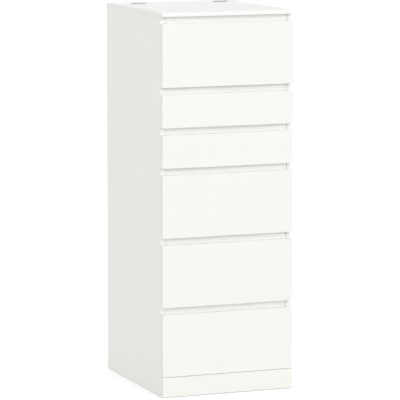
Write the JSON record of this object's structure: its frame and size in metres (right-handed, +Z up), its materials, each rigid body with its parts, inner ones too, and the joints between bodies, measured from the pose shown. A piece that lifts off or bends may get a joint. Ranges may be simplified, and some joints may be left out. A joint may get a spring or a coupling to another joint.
{
  "type": "tall chest of drawers",
  "caption": "Tall white chest of drawers with handle-free overlay fronts, finger-grip gaps and a flip-up lid with a mirror underneath.",
  "frame": {"origin": "on the floor under the middle of the chest's bounding box", "axes": "+Z up, the drawers open towards -Y, +X to the right of someone who faces the fronts"},
  "size_m": [0.428, 0.51, 1.183],
  "materials": {
    "white_board": "particleboard and fibreboard faced with smooth satin white foil",
    "inner_board": "particleboard faced with matt white paper foil",
    "thin_board": "thin fibreboard, white printed face",
    "runner_steel": "white epoxy-coated steel",
    "roller_nylon": "nylon",
    "glide_plastic": "moulded plastic",
    "cam_zinc": "zinc die-casting, dull",
    "hinge_steel": "nickel-plated steel, satin",
    "mirror_glass": "silvered glass, polished edge"
  },
  "bodies": {
    "carcass": {"left_side_panel": "white_board", "right_side_panel": "white_board", "back_panel": "thin_board", "plinth": "white_board", "base_rear_rail": "inner_board", "front_cross_rails": "inner_board", "upper_back_rail": "inner_board", "tray_floor": "inner_board", "tray_front_rail": "inner_board", "top_rear_strip": "white_board", "left_fixed_runners": "runner_steel", "right_fixed_runners": "runner_steel", "glides": "glide_plastic", "cam_locks_and_dowels": "cam_zinc", "fixed_hinge_leaves": "hinge_steel"},
    "lid": {"lid_panel": "white_board", "mirror": "mirror_glass", "lid_hinge_leaves": "hinge_steel"},
    "drawer_1": {"drawer_1_front": "white_board", "drawer_1_sides": "inner_board", "drawer_1_back": "inner_board", "drawer_1_bottom": "thin_board", "drawer_1_runners": "runner_steel"},
    "drawer_1_front_rollers": {"drawer_1_front_rollers": "roller_nylon"},
    "drawer_1_rear_rollers": {"drawer_1_rear_rollers": "roller_nylon"},
    "drawer_2": {"drawer_2_front": "white_board", "drawer_2_sides": "inner_board", "drawer_2_back": "inner_board", "drawer_2_bottom": "thin_board", "drawer_2_runners": "runner_steel"},
    "drawer_2_front_rollers": {"drawer_2_front_rollers": "roller_nylon"},
    "drawer_2_rear_rollers": {"drawer_2_rear_rollers": "roller_nylon"},
    "drawer_3": {"drawer_3_front": "white_board", "drawer_3_sides": "inner_board", "drawer_3_back": "inner_board", "drawer_3_bottom": "thin_board", "drawer_3_runners": "runner_steel"},
    "drawer_3_front_rollers": {"drawer_3_front_rollers": "roller_nylon"},
    "drawer_3_rear_rollers": {"drawer_3_rear_rollers": "roller_nylon"},
    "drawer_4": {"drawer_4_front": "white_board", "drawer_4_sides": "inner_board", "drawer_4_back": "inner_board", "drawer_4_bottom": "thin_board", "drawer_4_runners": "runner_steel"},
    "drawer_4_front_rollers": {"drawer_4_front_rollers": "roller_nylon"},
    "drawer_4_rear_rollers": {"drawer_4_rear_rollers": "roller_nylon"},
    "drawer_5": {"drawer_5_front": "white_board", "drawer_5_sides": "inner_board", "drawer_5_back": "inner_board", "drawer_5_bottom": "thin_board", "drawer_5_runners": "runner_steel"},
    "drawer_5_front_rollers": {"drawer_5_front_rollers": "roller_nylon"},
    "drawer_5_rear_rollers": {"drawer_5_rear_rollers": "roller_nylon"},
    "drawer_6": {"drawer_6_front": "white_board", "drawer_6_sides": "inner_board", "drawer_6_back": "inner_board", "drawer_6_bottom": "thin_board", "drawer_6_runners": "runner_steel"},
    "drawer_6_front_rollers": {"drawer_6_front_rollers": "roller_nylon"},
    "drawer_6_rear_rollers": {"drawer_6_rear_rollers": "roller_nylon"}
  },
  "joints": [
    {"name": "lid_hinge", "type": "hinge", "parent": "carcass", "child": "lid", "pos_m": [0, 0.163, 1.18], "axis": [-1, 0, 0], "range_deg": [0, 100]},
    {"name": "drawer_1_slide", "type": "slide", "parent": "carcass", "child": "drawer_1", "axis": [0, -1, 0], "range_m": [0, 0.365]},
    {"name": "drawer_1_front_roller_spin", "type": "hinge", "parent": "carcass", "child": "drawer_1_front_rollers", "pos_m": [0, -0.205, 0.9758], "axis": [1, 0, 0], "range_deg": [0, 2100]},
    {"name": "drawer_1_rear_roller_spin", "type": "hinge", "parent": "drawer_1", "child": "drawer_1_rear_rollers", "pos_m": [0, 0.185, 0.9758], "axis": [1, 0, 0], "range_deg": [0, 2100]},
    {"name": "drawer_2_slide", "type": "slide", "parent": "carcass", "child": "drawer_2", "axis": [0, -1, 0], "range_m": [0, 0.365]},
    {"name": "drawer_2_front_roller_spin", "type": "hinge", "parent": "carcass", "child": "drawer_2_front_rollers", "pos_m": [0, -0.205, 0.8528], "axis": [1, 0, 0], "range_deg": [0, 2100]},
    {"name": "drawer_2_rear_roller_spin", "type": "hinge", "parent": "drawer_2", "child": "drawer_2_rear_rollers", "pos_m": [0, 0.185, 0.8528], "axis": [1, 0, 0], "range_deg": [0, 2100]},
    {"name": "drawer_3_slide", "type": "slide", "parent": "carcass", "child": "drawer_3", "axis": [0, -1, 0], "range_m": [0, 0.365]},
    {"name": "drawer_3_front_roller_spin", "type": "hinge", "parent": "carcass", "child": "drawer_3_front_rollers", "pos_m": [0, -0.205, 0.7298], "axis": [1, 0, 0], "range_deg": [0, 2100]},
    {"name": "drawer_3_rear_roller_spin", "type": "hinge", "parent": "drawer_3", "child": "drawer_3_rear_rollers", "pos_m": [0, 0.185, 0.7298], "axis": [1, 0, 0], "range_deg": [0, 2100]},
    {"name": "drawer_4_slide", "type": "slide", "parent": "carcass", "child": "drawer_4", "axis": [0, -1, 0], "range_m": [0, 0.365]},
    {"name": "drawer_4_front_roller_spin", "type": "hinge", "parent": "carcass", "child": "drawer_4_front_rollers", "pos_m": [0, -0.205, 0.5153], "axis": [1, 0, 0], "range_deg": [0, 2100]},
    {"name": "drawer_4_rear_roller_spin", "type": "hinge", "parent": "drawer_4", "child": "drawer_4_rear_rollers", "pos_m": [0, 0.185, 0.5153], "axis": [1, 0, 0], "range_deg": [0, 2100]},
    {"name": "drawer_5_slide", "type": "slide", "parent": "carcass", "child": "drawer_5", "axis": [0, -1, 0], "range_m": [0, 0.365]},
    {"name": "drawer_5_front_roller_spin", "type": "hinge", "parent": "carcass", "child": "drawer_5_front_rollers", "pos_m": [0, -0.205, 0.3008], "axis": [1, 0, 0], "range_deg": [0, 2100]},
    {"name": "drawer_5_rear_roller_spin", "type": "hinge", "parent": "drawer_5", "child": "drawer_5_rear_rollers", "pos_m": [0, 0.185, 0.3008], "axis": [1, 0, 0], "range_deg": [0, 2100]},
    {"name": "drawer_6_slide", "type": "slide", "parent": "carcass", "child": "drawer_6", "axis": [0, -1, 0], "range_m": [0, 0.365]},
    {"name": "drawer_6_front_roller_spin", "type": "hinge", "parent": "carcass", "child": "drawer_6_front_rollers", "pos_m": [0, -0.205, 0.0863], "axis": [1, 0, 0], "range_deg": [0, 2100]},
    {"name": "drawer_6_rear_roller_spin", "type": "hinge", "parent": "drawer_6", "child": "drawer_6_rear_rollers", "pos_m": [0, 0.185, 0.0863], "axis": [1, 0, 0], "range_deg": [0, 2100]}
  ],
  "couplings": [
    {"joint": "drawer_1_front_roller_spin", "follows": "drawer_1_slide", "rad_per_m": 100},
    {"joint": "drawer_1_rear_roller_spin", "follows": "drawer_1_slide", "rad_per_m": 100},
    {"joint": "drawer_2_front_roller_spin", "follows": "drawer_2_slide", "rad_per_m": 100},
    {"joint": "drawer_2_rear_roller_spin", "follows": "drawer_2_slide", "rad_per_m": 100},
    {"joint": "drawer_3_front_roller_spin", "follows": "drawer_3_slide", "rad_per_m": 100},
    {"joint": "drawer_3_rear_roller_spin", "follows": "drawer_3_slide", "rad_per_m": 100},
    {"joint": "drawer_4_front_roller_spin", "follows": "drawer_4_slide", "rad_per_m": 100},
    {"joint": "drawer_4_rear_roller_spin", "follows": "drawer_4_slide", "rad_per_m": 100},
    {"joint": "drawer_5_front_roller_spin", "follows": "drawer_5_slide", "rad_per_m": 100},
    {"joint": "drawer_5_rear_roller_spin", "follows": "drawer_5_slide", "rad_per_m": 100},
    {"joint": "drawer_6_front_roller_spin", "follows": "drawer_6_slide", "rad_per_m": 100},
    {"joint": "drawer_6_rear_roller_spin", "follows": "drawer_6_slide", "rad_per_m": 100}
  ]
}
